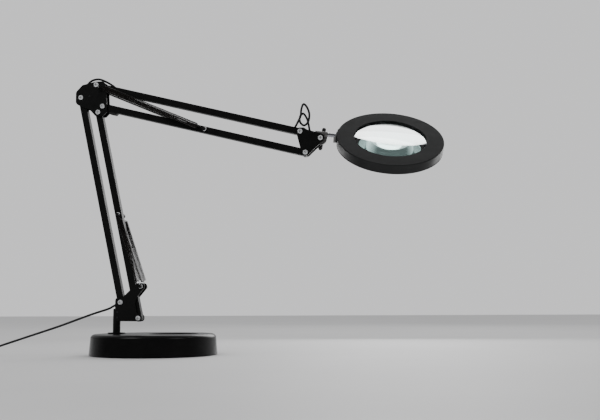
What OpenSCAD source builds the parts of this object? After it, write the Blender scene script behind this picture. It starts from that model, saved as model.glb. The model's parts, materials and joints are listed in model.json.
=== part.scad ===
// Swing-arm magnifying lamp on a weighted round base, in millimetres.
// +X points from the post to the lamp head, +Z is up, and the arms lie in the plane y = 0.
// The origin is the centre of the base, on the floor.

/* [Base] */
// Diameter of the round base
base_d = 187; // [180:1:200]
// Height of the base above the floor
base_h = 31; // [29:0.5:34]
// Radius of the base's rounded upper edge
base_edge_r = 6; // [4:0.5:7]
// Diameter of the parts tray sunk into the base
tray_d = 72; // [60:1:80]
// Depth of the parts tray
tray_depth = 3.5; // [2:0.5:4]
// Distance of the post from the centre of the base
post_offset = 57; // [50:1:60]
// Diameter of the post
post_d = 11; // [10:0.5:11]

/* [Arms] */
// Length of the two lower bars between their pivots
lower_arm_l = 319; // [280:1:340]
// Length of the two upper bars between their pivots
upper_arm_l = 320; // [280:1:360]
// Lean of the lower arm away from the head, from the vertical
lower_lean = 12.3; // [5:0.1:20]
// Fall of the upper arm towards the head, from the horizontal
upper_fall = 14.2; // [0:0.1:20]
// Side of the square tubes
tube_w = 10; // [8:0.1:10]
// Wall of the square tubes
tube_wall = 1.2; // [1:0.1:1.5]
// Thickness of the bracket plates
plate_t = 2; // [1.5:0.1:2]
// Diameter of the pivot screws
screw_d = 4; // [3:0.5:4]

/* [Springs] */
// Outside diameter of the balance springs
coil_d = 9; // [8:0.1:9]
// Diameter of the spring wire
wire_d = 1.1; // [1:0.1:1.2]
// Distance of the springs from the plane of the arms
spring_y = 12.5; // [12.5:0.5:13]

/* [Head] */
// Outside diameter of the ring housing
head_d = 157; // [150:1:165]
// Diameter of the opening over the lens
opening_d = 105.6; // [100:0.2:108]
// Height of the ring housing
head_t = 14.4; // [14:0.2:16]
// Distance from the tilt bolt to the centre of the ring, along the rod
head_reach = 102; // [101:1:112]
// Diameter of the chrome rod
rod_d = 6.2; // [5.8:0.1:6.4]
// Fall of the rod below the horizontal
rod_fall = 8.2; // [0:0.1:15]
// Roll of the ring about the rod, towards the user
head_roll = 39.6; // [0:0.1:60]
// Number of light-emitting diodes on the ring board
led_count = 36; // [24:2:48]

/* [Cable] */
// Diameter of the cable
cable_d = 3.3; // [2.8:0.1:3.5]

/* [Hidden] */
$fn = 64;

// Fits
clearance = 0.05;           // radial, on every turning or sliding fit
open_pivot_clearance = 0.1; // radial, where each parallelogram closes
gap = 0.1;                  // between faces that lie against each other

// Levels of the base, upwards from the floor
pad_t = 2;
skirt_z = 0.8; // the cover comes down round the pad, almost to the floor
bottom_plate_t = 1.2;
cover_wall = 2;
base_draft = 2; // how much narrower the top of the base is than its foot, on radius
base_r = base_d / 2;
weight_z = pad_t + bottom_plate_t;
weight_r = base_r - base_draft - cover_wall - 2.5;
weight_top = base_h - cover_wall - tray_depth - gap;
tray_x = 30;
bush_r = 8;
post_foot_z = weight_z + 5;
post_top_z = 68;
flange_r = 13;
flange_t = 2;
base_screw_circle = 70;

// Pivots, as [x, z]
post_x = -post_offset;
lower_link = [27.4, -23.5]; // rear pivot to front pivot of the lower arm
upper_link = [7.7, -31.6];  // top pivot to bottom pivot of the upper arm
lower_angle = 90 + lower_lean;
upper_angle = -upper_fall;
lower_dir = [cos(lower_angle), sin(lower_angle)];
upper_dir = [cos(upper_angle), sin(upper_angle)];
P1 = [post_x + 7.3, 77.3];
P2 = P1 + lower_link;
B = P1 + lower_arm_l * lower_dir;
D = P2 + lower_arm_l * lower_dir;
A = B + [26.5, 17.1];
C = A + upper_link;
E = A + upper_arm_l * upper_dir;
F = C + upper_arm_l * upper_dir;
G = E + [30.2, -10.6];

// Layers across the arms, as distances from y = 0
tube_half = tube_w / 2;
plate_in = 5.5;
plate_out = plate_in + plate_t;
washer_r = 4.3;
screw_head_r = 3.6;
screw_head_h = 2.2;
nut_h = 3.2;
nut_across_flats = 7;

// Springs
coil_r = (coil_d - wire_d) / 2;
eye_r = 2.9;
pin_r = 1.8;
pin_head_r = 2.4;
anchor_cap_r = 2.4;
pin_half_l = spring_y + 3;
anchor = P2 + [4.2, 46.7];
lower_hook_at = [157, -1.5]; // along and across the lower front bar
upper_hook_at = [164, 0];    // along and across the upper bottom bar
lower_hook = on_bar(P2, lower_angle, lower_hook_at);
upper_hook = on_bar(C, upper_angle, upper_hook_at);
lower_coil_start = 8;
lower_coil_l = 88;
lower_coil_turns = 27;
lower_link_l = 50;
upper_coil_start = 12;
upper_coil_l = 138;
upper_coil_turns = 39;
upper_link_l = 55;
coil_steps = 8; // points in each turn

// Head, in its own axes: x along the rod, z through the lens, origin at the ring's centre
head_r = head_d / 2;
opening_r = opening_d / 2;
half_t = head_t / 2;
wall = 2;
lens_r = opening_r + 2.2;
lens_edge_t = 2.4;
lens_surface_r = 170;
lens_mid_z = 0;
lens_sag = sag(lens_r);
lens_seat_half = lens_edge_t / 2 + lens_sag - sag(opening_r) + gap; // where the lens is clamped
lens_seat_z = lens_mid_z + lens_seat_half;
seat_r = lens_r + 0.15;
seat_wall = 1.8;
rim_t = 1.6;
rim_z = -half_t;
diffuser_t = 1.5;
diffuser_z = rim_z + rim_t + gap;
board_t = 1.2;
board_z = half_t - wall - board_t - gap;
led_ring_r = 66;
led_size = [3.5, 2.8, 0.8];
boss_rise = 0.6; // how far the boss stands out past the ring
boss_depth = 7;   // how far its core reaches inside the ring, between the board and the diffuser
boss_foot_z = rim_z + rim_t + gap;
boss_core_z = [diffuser_z + diffuser_t + gap, board_z - gap];
boss_w = 22;
boss_h = 12;
tab_t = 1.2;
tab_lip = 2;     // how far the tab's bent edge stands out from it
rod_above_bolt = 6.8;
rod_tail = 9;
rod_socket_depth = 8;
rod_end = head_reach - head_r + rod_socket_depth;
rod_wall = 0.9;

// Clamp and T-handle on the tilt bolt
strap_t = 1.2;
strap_w = 18.6;
strap_gap = 0.8;
bolt_d = 5;
hub_r = 4.2;
hub_l = 7;
handle_l = 35;
handle_y = plate_out + gap + hub_l + 3.3;
handle_d = 3.4;
handle_cap_d = 6.2;
handle_cap_l = 11;
handle_angle = 11.6;
handle_slide = 3; // the bar is pushed through its hub by this much

// Controller and plug, which lie on the floor beside the base
cable_r = cable_d / 2;
case_size = [20, 62, 12];
case_pos = [-277, -105, 0.4];
case_wall = 1.6;
case_r = 5;
case_split = 6;
button_r = 3.6;
button_rise = 1.3;
button_pitch = 15;
plug_pos = [-212, -181, 4.2];
plug_turn = 12;
plug_size = [22, 12, 7.4];
shell_size = [12.5, 12, 4.5];
shell_root = 4; // length of the sleeve inside the overmould

black = [0.05, 0.05, 0.055];
charcoal = [0.12, 0.12, 0.13];
steel = [0.75, 0.75, 0.76];

// ---- Geometry helpers ----

// Depth of the lens surface at radius r below its crown.
function sag(r) = lens_surface_r - sqrt(lens_surface_r * lens_surface_r - r * r);
function unit(v) = v / norm(v);
function on_bar(p, angle, at) = p + at[0] * [cos(angle), sin(angle)] + at[1] * [-sin(angle), cos(angle)];
function turned(a, b) = let (d = b - a) d > 180 ? d - 360 : d < -180 ? d + 360 : d;

// Points of one rounded corner at p between neighbours a and b.
function corner_arc(a, p, b, r, steps = 6) = let (
    u = unit(a - p),
    v = unit(b - p),
    half = acos(u * v) / 2,
    c = p + unit(u + v) * r / sin(half),
    s = p + u * r / tan(half) - c,
    e = p + v * r / tan(half) - c,
    start = atan2(s.y, s.x),
    sweep = turned(start, atan2(e.y, e.x))
) [for (i = [0:steps]) c + r * [cos(start + sweep * i / steps), sin(start + sweep * i / steps)]];

// Outline through corners, each [point, radius].
function rounded(corners) = let (n = len(corners)) [
    for (i = [0:n - 1])
        each corner_arc(corners[(i + n - 1) % n][0], corners[i][0], corners[(i + 1) % n][0], corners[i][1])
];

// A smooth curve through points: one Catmull-Rom stretch between each pair.
function spline_point(a, b, c, d, t) = 0.5 * (2 * b + (c - a) * t + (2 * a - 5 * b + 4 * c - d) * t * t
    + (3 * b - a - 3 * c + d) * t * t * t);
function spline(p, steps = 6) = let (n = len(p)) [
    for (i = [0:n - 2]) for (k = [0:steps - 1])
        spline_point(p[max(i - 1, 0)], p[i], p[i + 1], p[min(i + 2, n - 1)], k / steps),
    p[n - 1]
];

function tangent(path, i) = unit(path[min(i + 1, len(path) - 1)] - path[max(i - 1, 0)]);
function across(t, v) = unit(v - (v * t) * t);

// One side vector at each point of a path, carried along without twist.
function sides(path, first) = [
    for (i = 0, v = across(tangent(path, 0), first); i < len(path);
        i = i + 1, v = i < len(path) ? across(tangent(path, i), v) : v) v
];

// A round section of radius r carried along a path.
module sweep(path, r, first, section = 8) {
    n = len(path);
    side = sides(path, first);
    points = [
        for (i = [0:n - 1]) let (up = cross(tangent(path, i), side[i]))
            for (k = [0:section - 1])
                path[i] + r * (cos(360 * k / section) * side[i] + sin(360 * k / section) * up)
    ];
    skin = [
        for (i = [0:n - 2]) for (k = [0:section - 1]) let (
            a = i * section + k,
            b = i * section + (k + 1) % section
        ) each [[a, a + section, b + section], [a, b + section, b]]
    ];
    caps = [
        [for (k = [0:section - 1]) k],
        [for (k = [section - 1:-1:0]) (n - 1) * section + k]
    ];
    polyhedron(points = points, faces = concat(skin, caps), convexity = 10);
}

// A flat outline in x and z, filling y from y0 to y0 + t.
module flat(y0, t) {
    translate([0, y0 + t, 0])
        rotate([90, 0, 0])
            linear_extrude(t)
                children();
}

// A cylinder across the arms at p = [x, z], from y0 to y1.
module cross_pin(p, r, y0, y1, sides = 48) {
    translate([p.x, y0, p.y])
        rotate([-90, 0, 0])
            cylinder(r = r, h = y1 - y0, $fn = sides);
}

// Moves to p and turns x to point along the angle above the horizontal.
module along_x(p, angle) {
    translate([p.x, 0, p.y])
        rotate([0, -angle, 0])
            children();
}

// Moves to p and turns z to point at q, in the plane of the arms.
module aim(p, q) {
    translate([p.x, 0, p.y])
        rotate([0, atan2(q.x - p.x, q.y - p.y), 0])
            children();
}

module ring(r_in, r_out, z0, z1, sides = 128) {
    translate([0, 0, z0])
        difference() {
            cylinder(r = r_out, h = z1 - z0, $fn = sides);
            translate([0, 0, -1])
                cylinder(r = r_in, h = z1 - z0 + 2, $fn = sides);
        }
}

// ---- Base ----

module base_profile(inset) {
    r = base_r - inset;
    top = base_h - inset;
    edge = base_edge_r - inset;
    polygon(concat(
        [[0, skirt_z], [r, skirt_z]],
        [for (a = [0:10:90]) [r - base_draft - edge + edge * cos(a), top - edge + edge * sin(a)]],
        [[0, top]]
    ));
}

module base_cover() {
    color(black)
        difference() {
            rotate_extrude($fn = 160) base_profile(0);
            difference() {
                rotate_extrude($fn = 160) base_profile(cover_wall);
                translate([tray_x, 0, base_h - tray_depth - cover_wall])
                    cylinder(d = tray_d + 2 * cover_wall, h = base_h, $fn = 96);
            }
            translate([tray_x, 0, base_h - tray_depth])
                cylinder(d = tray_d, h = base_h, $fn = 96);
            translate([post_x, 0, weight_top])
                cylinder(r = bush_r + gap, h = base_h);
        }
}

module base_weight() {
    color("dimgray")
        difference() {
            translate([0, 0, weight_z])
                cylinder(r = weight_r, h = weight_top - weight_z, $fn = 128);
            translate([post_x, 0, 0])
                cylinder(r = bush_r + gap, h = base_h);
            for (a = [45:90:315])
                rotate([0, 0, a])
                    translate([base_screw_circle, 0, 0])
                        cylinder(d = screw_d + 2 * clearance, h = weight_z + 9);
        }
}

module base_plate() {
    color("gray")
        difference() {
            translate([0, 0, pad_t])
                cylinder(r = weight_r, h = bottom_plate_t - gap, $fn = 128);
            for (a = [45:90:315])
                rotate([0, 0, a])
                    translate([base_screw_circle, 0, 0])
                        cylinder(d = screw_d + 2 * clearance, h = base_h);
        }
}

module base_foot_pad() {
    color(charcoal)
        difference() {
            cylinder(r = base_r - 4, h = pad_t - gap, $fn = 128);
            for (a = [45:90:315])
                rotate([0, 0, a])
                    translate([base_screw_circle, 0, -1])
                        cylinder(r = 4.6, h = base_h);
        }
}

module base_screws() {
    color(steel)
        for (a = [45:90:315])
            rotate([0, 0, a])
                translate([base_screw_circle, 0, 0])
                    difference() {
                        union() {
                            translate([0, 0, 0.5])
                                cylinder(r = screw_head_r, h = pad_t - 0.5);
                            cylinder(d = screw_d, h = weight_z + 8);
                        }
                        translate([0, 0, -0.1])
                            cylinder(r = screw_head_r + 1, h = 0.6);
                        recess_cross(0.4);
                    }
}

// Cross recess cut into a screw head whose face is at z = face, deepening upwards.
module recess_cross(face) {
    for (turn = [0, 90])
        rotate([0, 0, turn])
            translate([-2.1, -0.45, face])
                cube([4.2, 0.9, 1.3]);
}

module post_flange() {
    color(black)
        translate([post_x, 0, 0])
            difference() {
                union() {
                    translate([0, 0, base_h])
                        cylinder(r = flange_r, h = flange_t - 0.6);
                    translate([0, 0, base_h + flange_t - 0.6])
                        cylinder(r1 = flange_r, r2 = flange_r - 0.6, h = 0.6);
                }
                translate([0, 0, base_h - 1])
                    cylinder(r = post_d / 2 + clearance, h = flange_t + 2);
            }
}

module post_bush() {
    color("dimgray")
        translate([post_x, 0, 0])
            difference() {
                translate([0, 0, weight_z])
                    cylinder(r = bush_r, h = base_h - weight_z - gap);
                translate([0, 0, post_foot_z - gap])
                    cylinder(r = post_d / 2 + clearance, h = base_h);
            }
}

// ---- Post and lower bracket ----

bracket_pin_r = 1.25;
bracket_pins_at = [[post_x + 2.6, 55], [post_x + 2.6, 63]];

module post() {
    color(black)
        difference() {
            union() {
                translate([post_x, 0, post_foot_z])
                    cylinder(d = post_d, h = post_top_z - post_foot_z - 1);
                translate([post_x, 0, post_top_z - 1])
                    cylinder(d1 = post_d, d2 = post_d - 2, h = 1);
            }
            for (p = bracket_pins_at)
                cross_pin(p, bracket_pin_r + clearance, -post_d, post_d);
        }
}

function lower_plate_outline() = rounded([
    [[post_x - 0.6, P2.y - 4.2], 1],
    [[post_x - 0.6, P1.y + 7.4], 5],
    [P1 + [3.2, 7.4], 3],
    [anchor + [-6.4, 5], 2],
    [anchor + [4.4, 5], 3.5],
    [anchor + [4.4, -2.4], 2.5],
    [P2 + [-2.4, 31], 3],
    [P2 + [-5, 22], 6],
    [P2 + [-2, 6.2], 3],
    [P2 + [5.4, 5.2], 4],
    [P2 + [5.4, -4.6], 4]
]);

module lower_plate(y0) {
    difference() {
        flat(y0, plate_t) polygon(lower_plate_outline());
        for (p = [P1, P2])
            cross_pin(p, screw_d / 2 + clearance, y0 - 1, y0 + plate_t + 1);
        cross_pin(anchor, pin_r + clearance, y0 - 1, y0 + plate_t + 1);
        for (p = bracket_pins_at)
            cross_pin(p, bracket_pin_r + clearance, y0 - 1, y0 + plate_t + 1);
    }
}

module lower_plate_near() { color(black) lower_plate(-plate_out); }
module lower_plate_far() { color(black) lower_plate(plate_in); }

module bracket_pins() {
    color("dimgray")
        for (p = bracket_pins_at)
            cross_pin(p, bracket_pin_r, -plate_out, plate_out);
}

// A pan-head screw across the arms at p, its head on the near side at y = -grip.
module pivot_screw(p, d, grip, tail) {
    translate([p.x, 0, p.y])
        rotate([-90, 0, 0])
            difference() {
                union() {
                    translate([0, 0, -grip])
                        cylinder(d = d, h = 2 * grip + tail, $fn = 48);
                    translate([0, 0, -grip - screw_head_h / 2])
                        cylinder(r = screw_head_r, h = screw_head_h / 2, $fn = 48);
                    translate([0, 0, -grip - screw_head_h])
                        cylinder(r1 = screw_head_r - 0.9, r2 = screw_head_r, h = screw_head_h / 2, $fn = 48);
                }
                recess_cross(-grip - screw_head_h - 0.01);
            }
}

module pivot_nut(p, d, face) {
    translate([p.x, face, p.y])
        rotate([-90, 0, 0])
            difference() {
                cylinder(d = nut_across_flats / cos(30), h = nut_h, $fn = 6);
                translate([0, 0, -1])
                    cylinder(d = d + 2 * clearance, h = nut_h + 2);
            }
}

// Thin washers on both sides of a tube, between it and the plates.
module pivot_washers(p) {
    for (side = [-1, 1])
        translate([p.x, side * (tube_half + plate_in) / 2, p.y])
            rotate([90, 0, 0])
                difference() {
                    cylinder(r = washer_r, h = plate_in - tube_half - gap, center = true, $fn = 48);
                    cylinder(d = screw_d + 2 * clearance, h = 2, center = true, $fn = 48);
                }
}

screw_tail = nut_h + 0.5;

module lower_screws() {
    color(steel)
        for (p = [P1, P2])
            pivot_screw(p, screw_d, plate_out, screw_tail);
}

module lower_nuts() {
    color(steel)
        for (p = [P1, P2])
            pivot_nut(p, screw_d, plate_out);
}

module lower_washers() {
    color("white")
        for (p = [P1, P2])
            pivot_washers(p);
}

// Stub pins point outwards only, so that the front bar can swing past between the plates.
module spring_anchor_pins() {
    color(black)
        for (side = [0, 1])
            mirror([0, side, 0]) {
                cross_pin(anchor, pin_r, plate_in, pin_half_l);
                cross_pin(anchor, anchor_cap_r, pin_half_l, pin_half_l + 1.6);
            }
}

// ---- Cable, controller and plug ----

function lead_path() = spline([
    [P1.x - 6.9, 0, P1.y - 2.4],
    [post_x - 7.4, 0, P1.y - 6.6],
    [post_x - 14.5, 0, P1.y - 10],
    [post_x - 41.4, 0, 58.8],
    [post_x - 87.4, 0, 42.6],
    [post_x - 133.7, 0, 27.8],
    [post_x - 180.3, 0, 13],
    [case_pos.x + 13, -7, 3.4],
    [case_pos.x + 1, -40, 2.6],
    [case_pos.x, case_pos.y + case_size.y / 2 + 12, case_pos.z + case_split - 0.6],
    [case_pos.x, case_pos.y + case_size.y / 2 + 5, case_pos.z + case_split],
    [case_pos.x, case_pos.y + case_size.y / 2 - 1.4, case_pos.z + case_split]
]);

function tail_path() = let (
    plug_dir = [cos(plug_turn), sin(plug_turn), 0],
    plug_back = plug_pos - plug_size.x / 2 * plug_dir
) spline([
    [case_pos.x, case_pos.y - case_size.y / 2 + 1.4, case_pos.z + case_split],
    [case_pos.x, case_pos.y - case_size.y / 2 - 5, case_pos.z + case_split],
    [case_pos.x + 3, case_pos.y - case_size.y / 2 - 22, 2.4],
    [case_pos.x + 16, case_pos.y - case_size.y / 2 - 45, 2],
    plug_back - 14 * plug_dir - [0, 0, 1.6],
    plug_back - 4 * plug_dir,
    plug_back + 1.5 * plug_dir
]);

module power_cable() {
    color(black) {
        sweep(lead_path(), cable_r, [0, 0, 1]);
        sweep(tail_path(), cable_r, [0, 0, 1]);
    }
}

function case_outline(inset) = let (
    x = case_size.x / 2 - inset,
    y = case_size.y / 2 - inset,
    r = case_r - inset
) rounded([[[-x, -y], r], [[x, -y], r], [[x, y], r], [[-x, y], r]]);

module case_block(inset, z0, z1) {
    translate([case_pos.x, case_pos.y, case_pos.z + z0])
        linear_extrude(z1 - z0)
            polygon(case_outline(inset));
}

module cable_hole() {
    translate([case_pos.x, case_pos.y - case_size.y, case_pos.z + case_split])
        rotate([-90, 0, 0])
            cylinder(r = cable_r + 0.3, h = 2 * case_size.y, $fn = 32);
}

module controller_top() {
    color(black)
        difference() {
            union() {
                case_block(0, case_split + gap, case_size.z - 1);
                case_block(0.8, case_size.z - 1, case_size.z);
            }
            case_block(case_wall, case_split - 1, case_size.z - case_wall);
            cable_hole();
            for (i = [-1:1])
                translate([case_pos.x, case_pos.y + i * button_pitch, 0])
                    cylinder(r = button_r + clearance, h = 2 * case_size.z);
        }
}

module controller_bottom() {
    color(black)
        difference() {
            case_block(0, 0, case_split);
            case_block(case_wall, case_wall, case_size.z);
            cable_hole();
        }
}

module button(i) {
    top = case_pos.z + case_size.z + button_rise;
    translate([case_pos.x, case_pos.y + i * button_pitch, 0]) {
        translate([0, 0, case_pos.z + case_size.z - case_wall - 0.5])
            cylinder(r = button_r, h = case_wall + button_rise, $fn = 48);
        translate([0, 0, top - 0.5])
            cylinder(r1 = button_r, r2 = button_r - 0.5, h = 0.5, $fn = 48);
        translate([0, 0, case_pos.z + case_size.z - case_wall - 1.3])
            cylinder(r = button_r + 1, h = 0.9, $fn = 48);
    }
}

module power_button() { color(charcoal) button(1); }
module mode_button() { color(charcoal) button(0); }
module bright_button() { color(charcoal) button(-1); }

module at_plug() {
    translate(plug_pos)
        rotate([0, 0, plug_turn])
            children();
}

module usb_overmould() {
    x = plug_size.x / 2;
    y = plug_size.y / 2;
    color(black)
        at_plug()
            difference() {
                translate([0, 0, -plug_size.z / 2])
                    linear_extrude(plug_size.z)
                        polygon(rounded([
                            [[-x, -y + 2.5], 1.5],
                            [[-x + 7, -y], 2],
                            [[x, -y], 1],
                            [[x, y], 1],
                            [[-x + 7, y], 2],
                            [[-x, y - 2.5], 1.5]
                        ]));
                translate([-x - 1, 0, 0])
                    rotate([0, 90, 0])
                        cylinder(r = cable_r + 0.2, h = 5, $fn = 32);
                translate([x - shell_root, 0, 0])
                    shell_block(shell_size.x + shell_root, gap);
            }
}

// The plug's metal sleeve, from z-centred corners, grown sideways by grow.
module shell_block(length, grow) {
    translate([0, -shell_size.y / 2 + 0.6 - grow, -shell_size.z / 2 - grow])
        cube([length, shell_size.y - 1.2 + 2 * grow, shell_size.z + 2 * grow]);
}

module usb_shell() {
    color(steel)
        at_plug()
            translate([plug_size.x / 2 - shell_root + gap, 0, 0])
                difference() {
                    shell_block(shell_size.x + shell_root, 0);
                    translate([shell_root + 1, 0, 0.6])
                        shell_block(shell_size.x, -0.6);
                }
}

// ---- Arms ----

// A square tube with rounded ends, from pivot p towards angle. Each bore is [[along, across], radius].
module tube_bar(p, angle, length, bores, last_clearance) {
    along_x(p, angle)
        difference() {
            flat(-tube_half, tube_w)
                polygon(rounded([
                    [[-tube_half, -tube_half], tube_half * 0.96],
                    [[length + tube_half, -tube_half], tube_half * 0.96],
                    [[length + tube_half, tube_half], tube_half * 0.96],
                    [[-tube_half, tube_half], tube_half * 0.96]
                ]));
            translate([-tube_w, tube_wall - tube_half, tube_wall - tube_half])
                cube([length + 2 * tube_w, tube_w - 2 * tube_wall, tube_w - 2 * tube_wall]);
            for (bore = bores)
                cross_pin(bore[0], bore[1], -tube_w, tube_w);
            cross_pin([length, 0], screw_d / 2 + last_clearance, -tube_w, tube_w);
            children();
        }
}

pivot_bore = [[0, 0], screw_d / 2 + clearance];
cable_exit_near = 24;
cable_exit_far = upper_arm_l - 10;

module lower_rear_bar() {
    color(black)
        tube_bar(P1, lower_angle, lower_arm_l, [pivot_bore], clearance);
}

module lower_front_bar() {
    color(black)
        tube_bar(P2, lower_angle, lower_arm_l, [pivot_bore, [lower_hook_at, pin_r + clearance]],
            open_pivot_clearance);
}

module upper_top_bar() {
    color(black)
        tube_bar(A, upper_angle, upper_arm_l, [pivot_bore], clearance)
            for (x = [cable_exit_near, cable_exit_far])
                translate([x, 0, 0])
                    cylinder(d = cable_d + 3, h = tube_w, $fn = 32);
}

module upper_bottom_bar() {
    color(black)
        tube_bar(C, upper_angle, upper_arm_l, [pivot_bore, [upper_hook_at, pin_r + clearance]],
            open_pivot_clearance);
}

// A pin through a bar that carries one spring link at each end.
module spring_pin(p) {
    color("dimgray") {
        cross_pin(p, pin_r, -pin_half_l, pin_half_l);
        cross_pin(p, pin_head_r, -pin_half_l - 0.8, -pin_half_l);
        cross_pin(p, pin_head_r, pin_half_l, pin_half_l + 0.8);
    }
}

module lower_spring_pin() { spring_pin(lower_hook); }
module upper_spring_pin() { spring_pin(upper_hook); }

module arm_bumper() {
    color(charcoal)
        along_x(C, upper_angle)
            flat(-3.5, 7)
                polygon(rounded([
                    [[12, -tube_half - 3.6], 2],
                    [[23, -tube_half - 3.6], 2],
                    [[25, -tube_half], 0.6],
                    [[10, -tube_half], 0.6]
                ]));
}

// ---- Springs ----

// An eye round a pin at the origin, open by 40 degrees, that ends on the z axis.
function eye_path() = [for (a = [40:20:360]) eye_r * [sin(a), 0, cos(a)]];

// A balance spring along z: an eye, a straight leg, then the coil.
module coil_spring(start, length, turns) {
    sweep(concat(
        eye_path(),
        [[0, 0, start - 3]],
        [
            for (i = [0:turns * coil_steps]) let (a = 360 * i / coil_steps)
                [coil_r * cos(a), coil_r * sin(a), start + length * i / (turns * coil_steps)]
        ]
    ), wire_d / 2, [0, 1, 0], 4);
}

// A wire link along z that reaches up inside a coil.
module spring_link(length) {
    sweep(concat(eye_path(), [[0, 0, length / 2], [0, 0, length]]), wire_d / 2, [0, 1, 0], 6);
}

module on_both_sides(y) {
    for (side = [-1, 1])
        translate([0, side * y, 0])
            children();
}

module lower_springs() {
    color("dimgray")
        on_both_sides(spring_y)
            aim(anchor, lower_hook)
                coil_spring(lower_coil_start, lower_coil_l, lower_coil_turns);
}

module lower_spring_links() {
    color("silver")
        on_both_sides(spring_y)
            aim(lower_hook, anchor)
                spring_link(lower_link_l);
}

module upper_springs() {
    color("dimgray")
        on_both_sides(spring_y)
            aim(A, upper_hook)
                coil_spring(upper_coil_start, upper_coil_l, upper_coil_turns);
}

module upper_spring_links() {
    color("silver")
        on_both_sides(spring_y)
            aim(upper_hook, A)
                spring_link(upper_link_l);
}

// ---- Elbow ----

elbow_spacer_at = B + [13, 2];

function elbow_outline() = rounded([
    [B + [-8, -10], 7],
    [B + [-8, 9], 7],
    [B + [2, 19.5], 5],
    [A + [-3, 7.2], 6],
    [A + [10.5, 7.2], 6],
    [A + [13, -4], 8],
    [C + [7.7, -8.4], 4.5],
    [C + [1.6, -14.6], 3],
    [D + [-3.6, -6.2], 4],
    [D + [-13.5, 4.6], 8]
]);

module elbow_plate(y0) {
    color(black)
        difference() {
            flat(y0, plate_t) polygon(elbow_outline());
            for (p = [A, B, C, D])
                cross_pin(p, screw_d / 2 + clearance, y0 - 1, y0 + plate_t + 1);
            cross_pin(elbow_spacer_at, 1.5 + clearance, y0 - 1, y0 + plate_t + 1);
        }
}

module elbow_plate_near() { elbow_plate(-plate_out); }
module elbow_plate_far() { elbow_plate(plate_in); }

// A shouldered spacer, riveted flush into both plates.
module elbow_spacer() {
    color("dimgray") {
        cross_pin(elbow_spacer_at, 3, -plate_in + 0.01, plate_in - 0.01);
        cross_pin(elbow_spacer_at, 1.5, -plate_out, plate_out);
    }
}

// The screw at A is longer, because the upper springs hang on its ends.
module elbow_screws() {
    color(steel) {
        for (p = [B, C, D])
            pivot_screw(p, screw_d, plate_out, screw_tail);
        pivot_screw(A, screw_d, pin_half_l, screw_tail);
    }
}

module elbow_nuts() {
    color(steel) {
        for (p = [B, C, D])
            pivot_nut(p, screw_d, plate_out);
        pivot_nut(A, screw_d, pin_half_l);
    }
}

module elbow_washers() {
    color("white")
        for (p = [A, B, C, D])
            pivot_washers(p);
}

function on_top_bar(x, up) = A + x * upper_dir + up * [sin(upper_fall), cos(upper_fall)];
function in_3d(p) = [p.x, 0, p.y];

module elbow_cable() {
    color(black)
        sweep(spline([
            in_3d(B + [2, 8.4]),
            in_3d(B + [7.2, 20.8]),
            in_3d(A + [-12, 10.6]),
            in_3d(A + [-1, 12.4]),
            in_3d(A + [11, 7.8]),
            in_3d(on_top_bar(cable_exit_near - 1.3, 6.1)),
            in_3d(on_top_bar(cable_exit_near + 0.3, 2.6))
        ]), cable_r, [0, 1, 0]);
}

// ---- Head bracket ----

function head_outline() = rounded([
    [E + [-5.6, 6], 5],
    [E + [5.6, 5.6], 4],
    [E + [11, 2.2], 4],
    [G + [2, 6.4], 5],
    [G + [6.6, 2.6], 4],
    [G + [4.4, -3.6], 4],
    [F + [3.6, -4.6], 4.5],
    [F + [-4.4, -5.4], 4],
    [E + [-5.2, -3], 4]
]);

module head_plate(y0) {
    color(black)
        difference() {
            flat(y0, plate_t) polygon(head_outline());
            for (p = [E, F])
                cross_pin(p, screw_d / 2 + clearance, y0 - 1, y0 + plate_t + 1);
            cross_pin(G, bolt_d / 2 + clearance, y0 - 1, y0 + plate_t + 1);
        }
}

module head_plate_near() { head_plate(-plate_out); }
module head_plate_far() { head_plate(plate_in); }

module head_screws() {
    color(steel) {
        for (p = [E, F])
            pivot_screw(p, screw_d, plate_out, screw_tail);
        pivot_screw(G, bolt_d, plate_out, hub_l - 1);
    }
}

module head_nuts() {
    color(steel)
        for (p = [E, F])
            pivot_nut(p, screw_d, plate_out);
}

module head_washers() {
    color("white")
        for (p = [E, F])
            pivot_washers(p);
}

// The slack cable: out of the top bar, round in one and a half turns, and down between the plates.
// The turns step sideways, so that the crossing strands pass clear of each other.
function slack_points() = [
    [-3.9, 14.2], [0.5, 24], [1.6, 34], [4.7, 42], [9.6, 38], [13.3, 27.5], [11.6, 15.8],
    [5.2, 10.4], [-0.8, 16], [-0.6, 24.6], [4, 28.6], [9.2, 21.6], [11.6, 13]
];

module head_cable() {
    turns = slack_points();
    sideways = 7 / (len(turns) - 1);
    color(black)
        sweep(spline([
            in_3d(on_top_bar(cable_exit_far - 0.2, 2.6)),
            in_3d(on_top_bar(cable_exit_far + 0.4, 6.1)),
            for (i = [0:len(turns) - 1]) [E.x + turns[i].x, -3 + sideways * i, E.y + turns[i].y],
            [E.x + 13.4, 3.2, E.y + 2.6],
            [E.x + 14.5, 3, E.y - 3]
        ], 4), cable_r, [0, 1, 0], 6);
}

// ---- Tilt clamp, T-handle and rod ----

// Axes along the rod, with the origin at the foot of the tilt bolt's normal.
module at_rod() {
    up = G + rod_above_bolt * [sin(rod_fall), cos(rod_fall)];
    along_x(up, -rod_fall)
        children();
}

strap_leg_y = strap_gap / 2;
strap_in = rod_d / 2 + clearance;

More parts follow.
